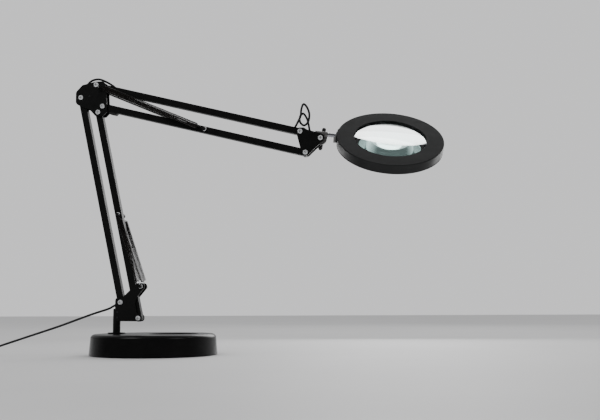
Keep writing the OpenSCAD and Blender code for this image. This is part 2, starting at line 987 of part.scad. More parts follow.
module rod_clamp() {
    color("darkgray")
        at_rod()
            difference() {
                union() {
                    rotate([0, 90, 0])
                        cylinder(r = strap_in + strap_t, h = strap_w, center = true, $fn = 64);
                    translate([-strap_w / 2, -strap_leg_y - strap_t, -rod_above_bolt])
                        cube([strap_w, 2 * (strap_leg_y + strap_t), rod_above_bolt]);
                    translate([0, 0, -rod_above_bolt])
                        rotate([90, 0, 0])
                            cylinder(d = strap_w, h = 2 * (strap_leg_y + strap_t), center = true, $fn = 64);
                }
                rotate([0, 90, 0])
                    cylinder(r = strap_in, h = 2 * strap_w, center = true, $fn = 64);
                translate([-strap_w, -strap_leg_y, -rod_above_bolt - strap_w])
                    cube([2 * strap_w, strap_gap, rod_above_bolt + strap_w - strap_gap]);
                translate([0, 0, -rod_above_bolt])
                    rotate([90, 0, 0])
                        cylinder(r = bolt_d / 2 + clearance, h = 4 * plate_in, center = true, $fn = 48);
            }
}

module at_handle() {
    translate([G.x, handle_y, G.y])
        rotate([0, handle_angle, 0])
            translate([0, 0, handle_slide])
                children();
}

module t_handle_bar() {
    color(steel)
        difference() {
            union() {
                cross_pin(G, hub_r, plate_out + gap, plate_out + gap + hub_l);
                cross_pin(G, 2.6, plate_out + hub_l, handle_y);
                at_handle()
                    translate([0, 0, -handle_l / 2 + 1])
                        cylinder(d = handle_d, h = handle_l - 2, $fn = 48);
            }
            cross_pin(G, bolt_d / 2 + clearance, 0, plate_out + hub_l - 0.8);
        }
}

module t_handle_caps() {
    color(black)
        at_handle()
            for (flip = [0, 1])
                mirror([0, 0, flip])
                    difference() {
                        union() {
                            translate([0, 0, handle_l / 2 - handle_cap_l])
                                cylinder(d = handle_cap_d, h = handle_cap_l - handle_cap_d / 2, $fn = 48);
                            translate([0, 0, handle_l / 2 - handle_cap_d / 2])
                                sphere(d = handle_cap_d, $fn = 48);
                        }
                        cylinder(d = handle_d + 2 * clearance, h = handle_l / 2 - 1 + clearance, $fn = 48);
                    }
}

module head_rod() {
    color("silver")
        at_rod()
            rotate([0, 90, 0])
                difference() {
                    translate([0, 0, -rod_tail])
                        cylinder(d = rod_d, h = rod_tail + rod_end, $fn = 64);
                    translate([0, 0, -rod_tail - 1])
                        cylinder(d = rod_d - 2 * rod_wall, h = rod_tail + rod_end + 2, $fn = 48);
                }
}

// ---- Head ----

// Axes of the ring: x along the rod, z through the lens, rolled towards the user.
module at_head() {
    at_rod()
        translate([head_reach, 0, 0])
            rotate([head_roll, 0, 0])
                children();
}

screw_circle = head_r - 5.4;
small_screw_r = 1.1;
small_head_r = 1.9;

module around_head(radius) {
    for (a = [30:60:330])
        rotate([0, 0, a])
            translate([radius, 0, 0])
                children();
}

module head_top_housing() {
    chamfer = 1;
    color(charcoal)
        at_head()
            difference() {
                union() {
                    rotate_extrude($fn = 160)
                        polygon([
                            [head_r - wall, rim_z + rim_t + gap],
                            [head_r, rim_z + rim_t + gap],
                            [head_r, half_t - chamfer],
                            [head_r - chamfer * 0.3, half_t - chamfer * 0.3],
                            [head_r - chamfer, half_t],
                            [opening_r + 0.5, half_t],
                            [opening_r, half_t - 0.5],
                            [opening_r, lens_seat_z],
                            [seat_r, lens_seat_z],
                            [seat_r, diffuser_z + diffuser_t + gap],
                            [seat_r + seat_wall, diffuser_z + diffuser_t + gap],
                            [seat_r + seat_wall, half_t - wall],
                            [head_r - wall, half_t - wall]
                        ]);
                    around_head(screw_circle)
                        translate([0, 0, diffuser_z + diffuser_t + gap])
                            cylinder(r = 2.8, h = half_t - wall / 2 - diffuser_z - diffuser_t, $fn = 32);
                    intersection() {
                        translate([-head_r - boss_rise, -boss_w / 2, boss_foot_z])
                            cube([boss_depth, boss_w, boss_h / 2 - boss_foot_z]);
                        ring(head_r - wall / 2, head_r + boss_depth, -half_t, half_t);
                    }
                    translate([-head_r, -boss_w / 2, boss_core_z[0]])
                        cube([boss_depth, boss_w, boss_core_z[1] - boss_core_z[0]]);
                }
                around_head(screw_circle)
                    translate([0, 0, rim_z])
                        cylinder(r = small_screw_r + clearance, h = head_t - 4, $fn = 24);
                translate([-head_reach, 0, 0])
                    rotate([0, 90, 0])
                        cylinder(d = rod_d + 2 * clearance, h = rod_end + gap, $fn = 64);
            }
}

module head_rim() {
    color(charcoal)
        at_head()
            difference() {
                ring(head_r - 8, head_r, rim_z, rim_z + rim_t);
                around_head(screw_circle) {
                    translate([0, 0, rim_z - 1])
                        cylinder(r = small_screw_r + clearance, h = 4, $fn = 24);
                    translate([0, 0, rim_z - 1])
                        cylinder(r = small_head_r + clearance, h = 1.9, $fn = 32);
                }
            }
}

module head_screws_small() {
    color(steel)
        at_head()
            around_head(screw_circle) {
                translate([0, 0, rim_z])
                    cylinder(r = small_head_r, h = 0.8, $fn = 32);
                translate([0, 0, rim_z])
                    cylinder(r = small_screw_r, h = 8, $fn = 24);
            }
}

module lens_retainer() {
    color(charcoal)
        at_head() {
            ring(opening_r, lens_r, rim_z + rim_t / 2, lens_mid_z - lens_seat_half);
            ring(opening_r, seat_r + seat_wall + 4, rim_z, rim_z + rim_t);
        }
}

module lens() {
    centre_half = lens_edge_t / 2 + lens_sag;
    color("lightcyan", 0.4)
        at_head()
            translate([0, 0, lens_mid_z])
                rotate_extrude($fn = 160)
                    polygon(concat(
                        [for (i = [0:10]) let (r = lens_r * i / 10) [r, centre_half - sag(r)]],
                        [for (i = [10:-1:0]) let (r = lens_r * i / 10) [r, sag(r) - centre_half]]
                    ));
}

module led_board() {
    color("white")
        at_head()
            difference() {
                ring(seat_r + seat_wall + 1, head_r - wall - 0.5, board_z, board_z + board_t);
                around_head(screw_circle)
                    translate([0, 0, board_z - 1])
                        cylinder(r = 3.1, h = 4, $fn = 32);
            }
}

module leds() {
    color("lightyellow")
        at_head()
            for (i = [0:led_count - 1])
                rotate([0, 0, 360 * (i + 0.5) / led_count])
                    translate([led_ring_r - led_size.x / 2, -led_size.y / 2, board_z - led_size.z])
                        cube(led_size);
}

module diffuser() {
    color("white", 0.8)
        at_head()
            difference() {
                ring(seat_r + 0.6, head_r - wall - 0.3, diffuser_z, diffuser_z + diffuser_t);
                around_head(screw_circle)
                    translate([0, 0, diffuser_z - 1])
                        cylinder(r = small_screw_r + 0.3, h = 4, $fn = 24);
            }
}

// A bent metal tab on the boss's outer face, which the rod passes through.
module head_tab() {
    face = -head_r - boss_rise - tab_t;
    low = -boss_w / 2 - 2;
    color("darkgray")
        at_head()
            difference() {
                union() {
                    translate([face, low, -4.5])
                        cube([tab_t - gap, boss_w / 2 + 7, 9]);
                    translate([face - tab_lip, low, -4.5])
                        cube([tab_lip + gap, tab_t, 9]);
                }
                translate([-head_reach, 0, 0])
                    rotate([0, 90, 0])
                        cylinder(r = rod_d / 2 + clearance, h = head_reach, $fn = 64);
            }
}

base_cover();
base_weight();
base_plate();
base_foot_pad();
base_screws();
post_flange();
post_bush();
post();
lower_plate_near();
lower_plate_far();
bracket_pins();
lower_screws();
lower_nuts();
lower_washers();
spring_anchor_pins();
power_cable();
controller_top();
controller_bottom();
power_button();
mode_button();
bright_button();
usb_overmould();
usb_shell();
lower_rear_bar();
lower_front_bar();
lower_spring_pin();
lower_springs();
lower_spring_links();
elbow_plate_near();
elbow_plate_far();
elbow_spacer();
elbow_screws();
elbow_nuts();
elbow_washers();
elbow_cable();
upper_top_bar();
upper_bottom_bar();
upper_spring_pin();
arm_bumper();
upper_springs();
upper_spring_links();
head_plate_near();
head_plate_far();
head_screws();
head_nuts();
head_washers();
head_cable();
rod_clamp();
t_handle_bar();
t_handle_caps();
head_rod();
head_tab();
head_top_housing();
head_rim();
lens_retainer();
lens();
led_board();
leds();
diffuser();
head_screws_small();
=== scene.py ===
import json
import math

import bmesh
import bpy
from mathutils import Matrix, Vector


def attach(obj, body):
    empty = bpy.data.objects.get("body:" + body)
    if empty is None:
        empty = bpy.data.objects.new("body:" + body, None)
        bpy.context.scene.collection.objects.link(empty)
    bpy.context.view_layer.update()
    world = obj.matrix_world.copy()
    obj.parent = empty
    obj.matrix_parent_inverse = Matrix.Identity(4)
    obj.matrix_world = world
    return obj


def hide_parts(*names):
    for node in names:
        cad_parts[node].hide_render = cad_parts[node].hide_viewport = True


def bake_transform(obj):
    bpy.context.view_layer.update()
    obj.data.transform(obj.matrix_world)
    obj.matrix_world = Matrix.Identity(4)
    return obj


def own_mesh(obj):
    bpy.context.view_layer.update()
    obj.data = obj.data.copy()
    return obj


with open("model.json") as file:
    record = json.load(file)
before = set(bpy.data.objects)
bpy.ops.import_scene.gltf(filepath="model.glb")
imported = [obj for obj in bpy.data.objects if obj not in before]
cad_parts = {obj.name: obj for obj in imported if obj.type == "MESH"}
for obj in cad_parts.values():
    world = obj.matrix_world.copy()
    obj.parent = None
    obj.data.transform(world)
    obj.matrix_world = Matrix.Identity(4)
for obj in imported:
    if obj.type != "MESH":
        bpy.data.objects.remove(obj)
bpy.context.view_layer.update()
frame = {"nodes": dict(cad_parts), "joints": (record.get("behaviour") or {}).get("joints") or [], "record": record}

# Looks for the swing-arm magnifying lamp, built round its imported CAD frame. Everything is in metres.

MM = 0.001
JOINTS = {joint["name"]: joint for joint in frame["joints"]}
SLOT_OF_NODE = {part["node"]: part["material_slot"] for part in frame["record"]["subparts"]}


def joint_at(name):
    return Vector(JOINTS[name]["pos_m"])


# ---------------------------------------------------------------- shader graphs

EDGE_SHARPNESS = 3.0   # how quickly an edge mask rises to 1
GLASS_IOR = 1.52


class Graph:
    """A material's node tree, with short calls for the nodes the looks are made of."""

    def __init__(self, name):
        self.material = bpy.data.materials.new(name)
        self.material.use_nodes = True
        self.tree = self.material.node_tree
        self.tree.nodes.clear()
        self.output = self.tree.nodes.new("ShaderNodeOutputMaterial")
        self.coordinates = self.tree.nodes.new("ShaderNodeTexCoord").outputs["Object"]

    def link(self, source, target):
        if isinstance(source, bpy.types.NodeSocket):
            self.tree.links.new(source, target)
        else:
            target.default_value = source

    def add(self, kind, inputs=None, **settings):
        node = self.tree.nodes.new(kind)
        for key, value in settings.items():
            setattr(node, key, value)
        for key, value in (inputs or {}).items():
            self.link(value, node.inputs[key])
        return node

    def stretched(self, scale):
        """The object's coordinates, scaled apart along its axes."""
        return self.add("ShaderNodeMapping", {"Vector": self.coordinates, "Scale": scale}).outputs[0]

    def noise(self, size, detail=3.0, vector=None, roughness=0.55):
        """Noise whose features are about size metres across."""
        inputs = {
            "Vector": vector or self.coordinates,
            "Scale": 1 / size,
            "Detail": detail,
            "Roughness": roughness,
        }
        return self.add("ShaderNodeTexNoise", inputs).outputs["Fac"]

    def cells(self, size):
        """Round cells about size metres across."""
        inputs = {"Vector": self.coordinates, "Scale": 1 / size}
        return self.add("ShaderNodeTexVoronoi", inputs).outputs["Distance"]

    def spread(self, value, low, high, start=0.3, end=0.7):
        """The value's range from start to end, mapped to low to high."""
        inputs = {"Value": value, "From Min": start, "From Max": end, "To Min": low, "To Max": high}
        return self.add("ShaderNodeMapRange", inputs).outputs[0]

    def math(self, operation, a, b=0.0):
        return self.add("ShaderNodeMath", {0: a, 1: b}, operation=operation).outputs[0]

    def mix(self, factor, a, b):
        node = self.add("ShaderNodeMix", data_type="RGBA")
        self.link(factor, node.inputs[0])
        self.link(a, node.inputs[6])
        self.link(b, node.inputs[7])
        return node.outputs[2]

    def edges(self, radius):
        """About 1 on edges tighter than radius, 0 on flat faces."""
        rounded = self.add("ShaderNodeBevel", {"Radius": radius}, samples=4).outputs[0]
        plain = self.add("ShaderNodeNewGeometry").outputs["Normal"]
        along = self.add("ShaderNodeVectorMath", {0: rounded, 1: plain}, operation="DOT_PRODUCT")
        away = self.math("SUBTRACT", 1.0, along.outputs["Value"])
        inputs = {0: away, 1: EDGE_SHARPNESS}
        return self.add("ShaderNodeMath", inputs, operation="MULTIPLY", use_clamp=True).outputs[0]

    def bump(self, height, depth):
        inputs = {"Height": height, "Distance": depth, "Strength": 1.0}
        return self.add("ShaderNodeBump", inputs).outputs[0]

    def finish(self, **inputs):
        """Ends the graph in a Principled shader; an underscore in a name stands for a space."""
        shader = self.add("ShaderNodeBsdfPrincipled")
        for key, value in inputs.items():
            self.link(value, shader.inputs[key.replace("_", " ")])
        self.tree.links.new(shader.outputs[0], self.output.inputs["Surface"])
        return self.material


def grey(value):
    return (value, value, value, 1.0)


def powder_coat(name, base, worn, roughness, grain, depth, shine, dust=0.06, rub=0.4, patchy=0.05):
    """Paint with a fine orange peel, faint dust and lightly rubbed edges."""
    g = Graph(name)
    cloud = g.noise(0.03, 4)
    peel = g.noise(grain, 2)
    speck = g.spread(g.noise(grain * 3, 3), 0.0, 1.0, 0.62, 0.7)
    rubbed = g.math("MULTIPLY", g.edges(0.5 * MM), g.spread(g.noise(6 * MM, 5), 0.0, 1.0, 0.42, 0.66))
    colour = g.mix(g.spread(cloud, 0.0, 1.0), grey(base), grey(base * 1.5))
    colour = g.mix(g.math("MULTIPLY", speck, dust), colour, grey(worn))
    colour = g.mix(g.math("MULTIPLY", rubbed, rub), colour, grey(worn))
    rough = g.math("ADD", g.spread(g.noise(9 * MM, 4), roughness - patchy, roughness + patchy),
                   g.math("MULTIPLY", rubbed, -0.1))
    return g.finish(Base_Color=colour, Roughness=rough, Normal=g.bump(peel, depth),
                    Specular_IOR_Level=shine)


def bare_metal(name, tint, dark, roughness, lines, depth=0.01 * MM, metallic=1.0):
    """Metal with fine drawn lines along one axis, handling marks, a painted highlight on the edges and painted
    shade in the hollows.
    """
    g = Graph(name)
    drawn = g.noise(1.0, 3, g.stretched(lines))
    smudge = g.noise(5 * MM, 4)
    edge = g.edges(0.3 * MM)
    colour = g.mix(g.spread(smudge, 0.0, 1.0), tint, dark)
    # painted highlight: edges are painted lighter than the tint
    colour = g.mix(g.math("MULTIPLY", edge, 0.5), colour, [min(1.0, c * 1.25) for c in tint[:3]] + [1.0])
    # painted shade: hollows found by ambient occlusion are darkened to near black
    painted_hollow_shade = g.add("ShaderNodeAmbientOcclusion", {"Distance": 1.6 * MM}, samples=6).outputs["AO"]
    colour = g.mix(g.spread(painted_hollow_shade, 0.85, 0.0, 0.35, 0.75), colour, (0.01, 0.01, 0.01, 1))
    rough = g.math("ADD", g.spread(drawn, -0.05, 0.07), g.spread(smudge, roughness, roughness + 0.14))
    return g.finish(Base_Color=colour, Metallic=metallic, Roughness=rough, Normal=g.bump(drawn, depth))


def moulded_plastic(name, base, roughness, grain=0.35 * MM, depth=0.012 * MM, shine=0.45):
    """Moulded plastic with a spark-eroded grain, faint flow marks, and smoother edges that carry a painted
    highlight.
    """
    g = Graph(name)
    flow = g.noise(1.0, 3, g.stretched((30, 30, 90)))
    texture = g.noise(grain, 2, roughness=0.7)
    edge = g.math("MULTIPLY", g.edges(0.4 * MM), 0.35)
    light = tuple(min(1.0, c * 1.35 + 0.004) for c in base)
    colour = g.mix(g.spread(flow, 0.0, 1.0), (*base, 1.0), (*light, 1.0))
    # painted highlight: edges are painted lighter as a sheen; the roughness below is lowered there as well
    colour = g.mix(edge, colour, tuple(min(1.0, c * 1.8 + 0.02) for c in base) + (1.0,))
    rough = g.math("SUBTRACT", g.spread(g.noise(12 * MM, 4), roughness - 0.05, roughness + 0.07),
                   g.math("MULTIPLY", edge, 0.4))
    return g.finish(Base_Color=colour, Roughness=rough, Normal=g.bump(texture, depth),
                    Specular_IOR_Level=shine)


def soft_rubber(name, base, roughness):
    """Rubber with a fine open skin, pale dust in the hollows and a slight sheen."""
    g = Graph(name)
    skin = g.cells(0.5 * MM)
    dust = g.spread(g.noise(7 * MM, 5), 0.0, 0.3, 0.5, 0.75)
    colour = g.mix(dust, grey(base), grey(base * 3 + 0.01))
    rough = g.spread(g.noise(3 * MM, 3), roughness - 0.06, roughness + 0.06)
    return g.finish(Base_Color=colour, Roughness=rough, Normal=g.bump(skin, 0.02 * MM), Sheen_Weight=0.15)


def cast_iron(name):
    """Rough iron with patches of rust."""
    g = Graph(name)
    skin = g.noise(1.2 * MM, 6, roughness=0.7)
    rust = g.spread(g.noise(15 * MM, 5), 0.0, 0.6, 0.52, 0.72)
    colour = g.mix(rust, (0.09, 0.085, 0.08, 1), (0.16, 0.075, 0.035, 1))
    rough = g.spread(skin, 0.6, 0.85)
    return g.finish(Base_Color=colour, Metallic=0.6, Roughness=rough, Normal=g.bump(skin, 0.15 * MM))


def lens_glass(name):
    """Polished glass with the faintest dust, green where light runs a long way through it."""
    g = Graph(name)
    film = g.spread(g.noise(14 * MM, 5), 0.0, 0.008, 0.5, 0.75)
    colour = g.mix(g.spread(g.noise(40 * MM, 2), 0.0, 1.0), (1.0, 1.0, 1.0, 1), (0.985, 1.0, 0.997, 1))
    tint = g.add("ShaderNodeVolumeAbsorption", {"Color": (0.35, 0.86, 0.80, 1), "Density": 7.0})
    g.tree.links.new(tint.outputs[0], g.output.inputs["Volume"])
    return g.finish(Base_Color=colour, Roughness=film, IOR=GLASS_IOR, Transmission_Weight=1.0)


def ground_glass(name):
    """The lens's ground rim, green-blue, with a painted glow that stands for the light gathered in it."""
    g = Graph(name)
    grind = g.noise(0.4 * MM, 3)
    band = g.noise(12 * MM, 3)
    colour = g.mix(g.spread(band, 0.0, 1.0), (0.16, 0.40, 0.36, 1), (0.45, 0.70, 0.66, 1))
    # painted light: the emission is a painted glow, not a lamp
    return g.finish(Base_Color=colour, Roughness=g.spread(grind, 0.35, 0.6), IOR=GLASS_IOR,
                    Emission_Color=colour, Emission_Strength=g.spread(band, 0.08, 0.3),
                    Normal=g.bump(grind, 0.03 * MM))


def lit_milk(name, strength):
    """Milk plastic lit from behind by a ring of diodes."""
    g = Graph(name)
    mottle = g.spread(g.noise(5 * MM, 3), 0.9, 1.05)
    glow = g.mix(g.spread(g.noise(20 * MM, 2), 0.0, 1.0), (1.0, 0.985, 0.95, 1), (0.97, 0.98, 1.0, 1))
    return g.finish(Base_Color=(0.93, 0.93, 0.91, 1), Roughness=g.spread(g.noise(3 * MM), 0.35, 0.5),
                    Emission_Color=glow, Emission_Strength=g.math("MULTIPLY", mottle, strength),
                    Normal=g.bump(g.noise(0.3 * MM, 2), 0.01 * MM), Subsurface_Weight=0.2,
                    Subsurface_Radius=(0.004, 0.004, 0.004))


LOOKS = {
    "black_coat": lambda n: powder_coat(n, 0.0025, 0.04, 0.40, 0.35 * MM, 0.010 * MM, 0.22),
    "base_coat": lambda n: powder_coat(n, 0.0025, 0.03, 0.24, 1.1 * MM, 0.0006 * MM, 0.28, dust=0.01,
                                       rub=0.2, patchy=0.015),
    "iron": cast_iron,
    "zinc_steel": lambda n: bare_metal(n, (0.86, 0.87, 0.88, 1), (0.66, 0.68, 0.69, 1), 0.26,
                                       (300, 300, 2500), metallic=0.45),
    "dark_steel": lambda n: bare_metal(n, (0.06, 0.06, 0.065, 1), (0.03, 0.03, 0.03, 1), 0.35,
                                       (300, 300, 2500)),
    "strap_steel": lambda n: bare_metal(n, (0.20, 0.195, 0.19, 1), (0.13, 0.13, 0.13, 1), 0.32,
                                        (250, 2500, 2500), metallic=0.7),
    "chrome": lambda n: bare_metal(n, (0.42, 0.42, 0.45, 1), (0.33, 0.33, 0.36, 1), 0.10,
                                   (60, 3000, 3000), 0.002 * MM),
    "spring_steel": lambda n: bare_metal(n, (0.045, 0.04, 0.038, 1), (0.02, 0.018, 0.018, 1), 0.3,
                                         (900, 900, 900)),
    "nylon": lambda n: moulded_plastic(n, (0.012, 0.012, 0.012), 0.4),
    "foam_rubber": lambda n: soft_rubber(n, 0.010, 0.75),
    "cap_rubber": lambda n: soft_rubber(n, 0.005, 0.35),
    "cable_sheath": lambda n: moulded_plastic(n, (0.005, 0.005, 0.006), 0.42, 0.25 * MM, 0.008 * MM,
                                              0.35),
    "controller_plastic": lambda n: moulded_plastic(n, (0.012, 0.012, 0.013), 0.45),
    "button_plastic": lambda n: moulded_plastic(n, (0.06, 0.06, 0.063), 0.5),
    "housing_plastic": lambda n: moulded_plastic(n, (0.006, 0.0065, 0.0065), 0.38, 0.35 * MM, 0.008 * MM,
                                                 0.25),
    "lens_glass": lens_glass,
    "board": lambda n: moulded_plastic(n, (0.75, 0.77, 0.74), 0.35),
    "led": lambda n: lit_milk(n, 6.0),
    "milk_plastic": lambda n: lit_milk(n, 3.0),
}
MATERIALS = {slot: look(slot) for slot, look in LOOKS.items()}


# ---------------------------------------------------------------- mesh helpers

def new_piece(name, mesh_data, slot, body, node):
    """A smooth piece in place of a CAD node, attached to body when one is given; without a body it stays
    unattached.
    """
    piece = bpy.data.objects.new(name, mesh_data)
    bpy.context.collection.objects.link(piece)
    mesh_data.materials.append(MATERIALS[slot])
    for face in mesh_data.polygons:
        face.use_smooth = True
    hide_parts(node)
    if body:
        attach(piece, body)
    return piece


def to_mesh(name, bm):
    bmesh.ops.recalc_face_normals(bm, faces=bm.faces)
    data = bpy.data.meshes.new(name)
    bm.to_mesh(data)
    bm.free()
    return data


def path_axes(path):
    """The tangent and one side vector at each point of a path, carried along without twist."""
    tangents = []
    for i in range(len(path)):
        tangents.append((path[min(i + 1, len(path) - 1)] - path[max(i - 1, 0)]).normalized())
    side = tangents[0].orthogonal().normalized()
    sides = []
    for tangent in tangents:
        side = (side - side.dot(tangent) * tangent).normalized()
        sides.append(side)
    return tangents, sides


def add_sweep(bm, path, radius, section):
    """A round section with that many corners carried along a path, with a low cone on each end."""
    tangents, sides = path_axes(path)
    rings = []
    for point, tangent, side in zip(path, tangents, sides):
        up = tangent.cross(side)
        rings.append([
            bm.verts.new(point + radius * (math.cos(a) * side + math.sin(a) * up))
            for a in (math.tau * k / section for k in range(section))
        ])
    for one, two in zip(rings, rings[1:]):
        for k in range(section):
            bm.faces.new((one[k], two[k], two[(k + 1) % section], one[(k + 1) % section]))
    for ring, point, tangent in ((rings[0], path[0], -tangents[0]), (rings[-1], path[-1], tangents[-1])):
        tip = bm.verts.new(point + tangent * radius * 0.4)
        for k in range(section):
            bm.faces.new((ring[k], ring[(k + 1) % section], tip))


def smooth_curve(points):
    """A Catmull-Rom curve through points."""
    curve = []
    for i in range(len(points) - 1):
        a, b = points[max(i - 1, 0)], points[i]
        c, d = points[i + 1], points[min(i + 2, len(points) - 1)]
        for k in range(CURVE_STEPS):
            t = k / CURVE_STEPS
            curve.append(0.5 * (2 * b + (c - a) * t + (2 * a - 5 * b + 4 * c - d) * t * t
                                + (3 * b - a - 3 * c + d) * t ** 3))
    curve.append(points[-1])
    return curve


def soften(node, width):
    """Rounds a CAD node's edges with modifiers, which leave its mesh alone."""
    piece = frame["nodes"][node]
    flat = piece.modifiers.new("Flats", "DECIMATE")
    flat.decimate_type = "DISSOLVE"
    flat.angle_limit = math.radians(0.5)
    edge = piece.modifiers.new("Edges", "BEVEL")
    edge.width = width
    edge.segments = 2
    edge.limit_method = "ANGLE"
    edge.angle_limit = math.radians(38)
    edge.harden_normals = True
    edge.miter_outer = "MITER_ARC"


# ---------------------------------------------------------------- carried-over CAD nodes

EDGE_WIDTHS = {
    0.35 * MM: ("lower_plate_near", "lower_plate_far", "elbow_plate_near", "elbow_plate_far",
                "head_plate_near", "head_plate_far"),
    0.5 * MM: ("lower_rear_bar", "lower_front_bar", "upper_top_bar", "upper_bottom_bar", "arm_bumper",
               "controller_top", "controller_bottom", "usb_overmould"),
    0.2 * MM: ("rod_clamp", "head_tab", "usb_shell", "t_handle_bar", "lower_nuts", "elbow_nuts",
               "head_nuts"),
}

for node, piece in frame["nodes"].items():
    piece.data.materials.clear()
    piece.data.materials.append(MATERIALS[SLOT_OF_NODE[node]])
for width, softened in EDGE_WIDTHS.items():
    for node in softened:
        soften(node, width)


# ---------------------------------------------------------------- places taken from the joints

P1 = joint_at("lower_arm")
B = joint_at("elbow_level")
SPRING_ANCHOR = joint_at("lower_spring_turn")
LOWER_HOOK = joint_at("lower_link_turn")
A = joint_at("upper_arm")
UPPER_HOOK = joint_at("upper_link_turn")
E = joint_at("head_level")
ROD_START = joint_at("head_roll")
ROD = Vector(JOINTS["head_roll"]["axis"]).normalized()
HEAD_ROLL = math.radians(39.6)   # roll of the ring about the rod at rest
HEAD_REACH = 102 * MM            # from the rod's start to the ring's centre
TOP_BAR = (E - A).normalized()
ABOVE_TOP_BAR = Vector((-TOP_BAR.z, 0, TOP_BAR.x))


def off(origin, x, z, y=0.0):
    """A point x, z and y millimetres from origin."""
    return origin + Vector((x, y, z)) * MM


def axes_at(origin, x, z):
    """The matrix of a frame at origin with those x and z axes."""
    return Matrix.Translation(origin) @ Matrix((x, z.cross(x), z)).transposed().to_4x4()


# ---------------------------------------------------------------- springs

WIRE_R = 0.55 * MM
COIL_R = 3.95 * MM
EYE_R = 2.9 * MM
SPRING_Y = 12.5 * MM
LEG_L = 3.4 * MM         # straight wire between an eye and its coil
TURN_STEPS = 15          # points in each turn
LAST_TURN_TAPER = 0.36   # share of the radius that the last turn loses
WIRE_SECTION = 7         # corners round the wire


def smoothstep(t):
    t = min(max(t, 0.0), 1.0)
    return t * t * (3 - 2 * t)


def eye_path():
    """An open eye round a pin at the origin, ending on the z axis."""
    return [EYE_R * Vector((math.sin(a), 0, math.cos(a)))
            for a in (math.radians(40 + 16 * i) for i in range(21))]


def coil_path(start, length, turns):
    """An eye, a leg that widens into a close coil, and a last turn that closes in to the link."""
    path = eye_path() + [Vector((0, 0, start - LEG_L))]
    count = round(turns * TURN_STEPS)
    for i in range(count + 1):
        turn = i / TURN_STEPS
        widening = smoothstep((turn + 0.15) / 0.9)
        closing = 1 - LAST_TURN_TAPER * smoothstep((turn - turns + 0.8) / 0.8)
        radius = COIL_R * widening * closing
        a = math.tau * turn
        path.append(Vector((radius * math.cos(a), radius * math.sin(a), start + length * i / count)))
    return path


def link_path(length):
    """An eye, a straight wire and the small hook inside the coil."""
    return eye_path() + [Vector((0, 0, length * k)) for k in (0.3, 0.6, 0.9)] + [
        Vector((0.3 * MM, 0, length)), Vector((0.9 * MM, 0, length + 0.6 * MM)),
        Vector((1.5 * MM, 0, length)), Vector((1.6 * MM, 0, length - 1.4 * MM)),
    ]


def pair_of(name, path, pin, target, body, node, painted_glint_end=0.0):
    """The path swept as wire on both sides of the arms, from pin towards target."""
    along = (target - pin).normalized()
    bm = bmesh.new()
    for side in (-1, 1):
        place = axes_at(pin + Vector((0, side * SPRING_Y, 0)), Vector((0, 1, 0)).cross(along), along)
        add_sweep(bm, [place @ point for point in path], WIRE_R, WIRE_SECTION)
    springs = new_piece(name, to_mesh(name, bm), "spring_steel", body, node)
    springs.data.materials.append(MATERIALS["zinc_steel"])
    # painted highlight: wire nearer the pin than this distance gets the bright zinc finish, though it is the same
    # spring steel
    for face in springs.data.polygons:
        if (face.center - pin).dot(along) < painted_glint_end:
            face.material_index = 1
    return springs


# the first 7 mm of the lower springs at the anchor carry a painted highlight
pair_of("lower_coils", coil_path(8 * MM, 97 * MM, 56), SPRING_ANCHOR, LOWER_HOOK,
        "lower_spring_body", "lower_springs", painted_glint_end=7 * MM)
pair_of("lower_hooks", link_path(50 * MM), LOWER_HOOK, SPRING_ANCHOR,
        "lower_link_body", "lower_spring_links")
upper_coils = pair_of("upper_coils", coil_path(12 * MM, 158 * MM, 100), A, UPPER_HOOK,
                      "upper_spring_body", "upper_springs")
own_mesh(upper_coils)
pair_of("upper_hooks", link_path(55 * MM), UPPER_HOOK, A, "upper_link_body", "upper_spring_links")


# ---------------------------------------------------------------- cables

CABLE_R = 1.65 * MM
CABLE_SECTION = 14   # corners round the cable
CURVE_STEPS = 14     # points between two given ones


def cable(name, paths, node):
    """A cable of one or more lengths, attached to no body."""
    bm = bmesh.new()
    for points in paths:
        add_sweep(bm, smooth_curve(points), CABLE_R, CABLE_SECTION)
    return new_piece(name, to_mesh(name, bm), "cable_sheath", None, node)


BOX_X, BOX_Y, BOX_Z = -277, -105, 6.4   # where the cable passes through the controller, in mm
BOX_HALF = 31                           # half of the controller's length, in mm
PLUG = Vector((-212, -181, 4.2))        # the plug's place, in mm
PLUG_DIR = Vector((math.cos(math.radians(12)), math.sin(math.radians(12)), 0))
ORIGIN = Vector((0, 0, 0))

lead = [
    off(P1, -6.9, -2.4), off(P1, -14.7, -6.6), off(P1, -21.8, -10), off(ORIGIN, -98.4, 58.8),
    off(ORIGIN, -144.4, 42.6), off(ORIGIN, -190.7, 27.8), off(ORIGIN, -237.3, 13),
    off(ORIGIN, BOX_X + 13, 3.4, -7), off(ORIGIN, BOX_X + 1, 2.6, -40),
    off(ORIGIN, BOX_X, BOX_Z - 0.6, BOX_Y + BOX_HALF + 12),
    off(ORIGIN, BOX_X, BOX_Z, BOX_Y + BOX_HALF + 5), off(ORIGIN, BOX_X, BOX_Z, BOX_Y + BOX_HALF - 1.4),
]
plug_back = PLUG - 11 * PLUG_DIR
tail = [
    off(ORIGIN, BOX_X, BOX_Z, BOX_Y - BOX_HALF + 1.4), off(ORIGIN, BOX_X, BOX_Z, BOX_Y - BOX_HALF - 5),
    off(ORIGIN, BOX_X + 3, 2.4, BOX_Y - BOX_HALF - 22), off(ORIGIN, BOX_X + 16, 2, BOX_Y - BOX_HALF - 45),
    (plug_back - 14 * PLUG_DIR - Vector((0, 0, 1.6))) * MM, (plug_back - 4 * PLUG_DIR) * MM,
    (plug_back + 1.5 * PLUG_DIR) * MM,
]
power_lead = cable("power_lead", [lead, tail], "power_cable")
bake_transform(power_lead)


def on_top_bar(x, up):
    """A point x millimetres along the top bar and up millimetres above its middle line."""
    return A + (x * TOP_BAR + up * ABOVE_TOP_BAR) * MM


elbow_lead = cable("elbow_lead", [[
    off(B, 2, 8.4), off(B, 7.2, 20.8), off(A, -12, 10.6), off(A, -1, 12.4), off(A, 11, 7.8),
    on_top_bar(22.5, 5.6), on_top_bar(24.3, 2.4),
]], "elbow_cable")
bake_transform(elbow_lead)

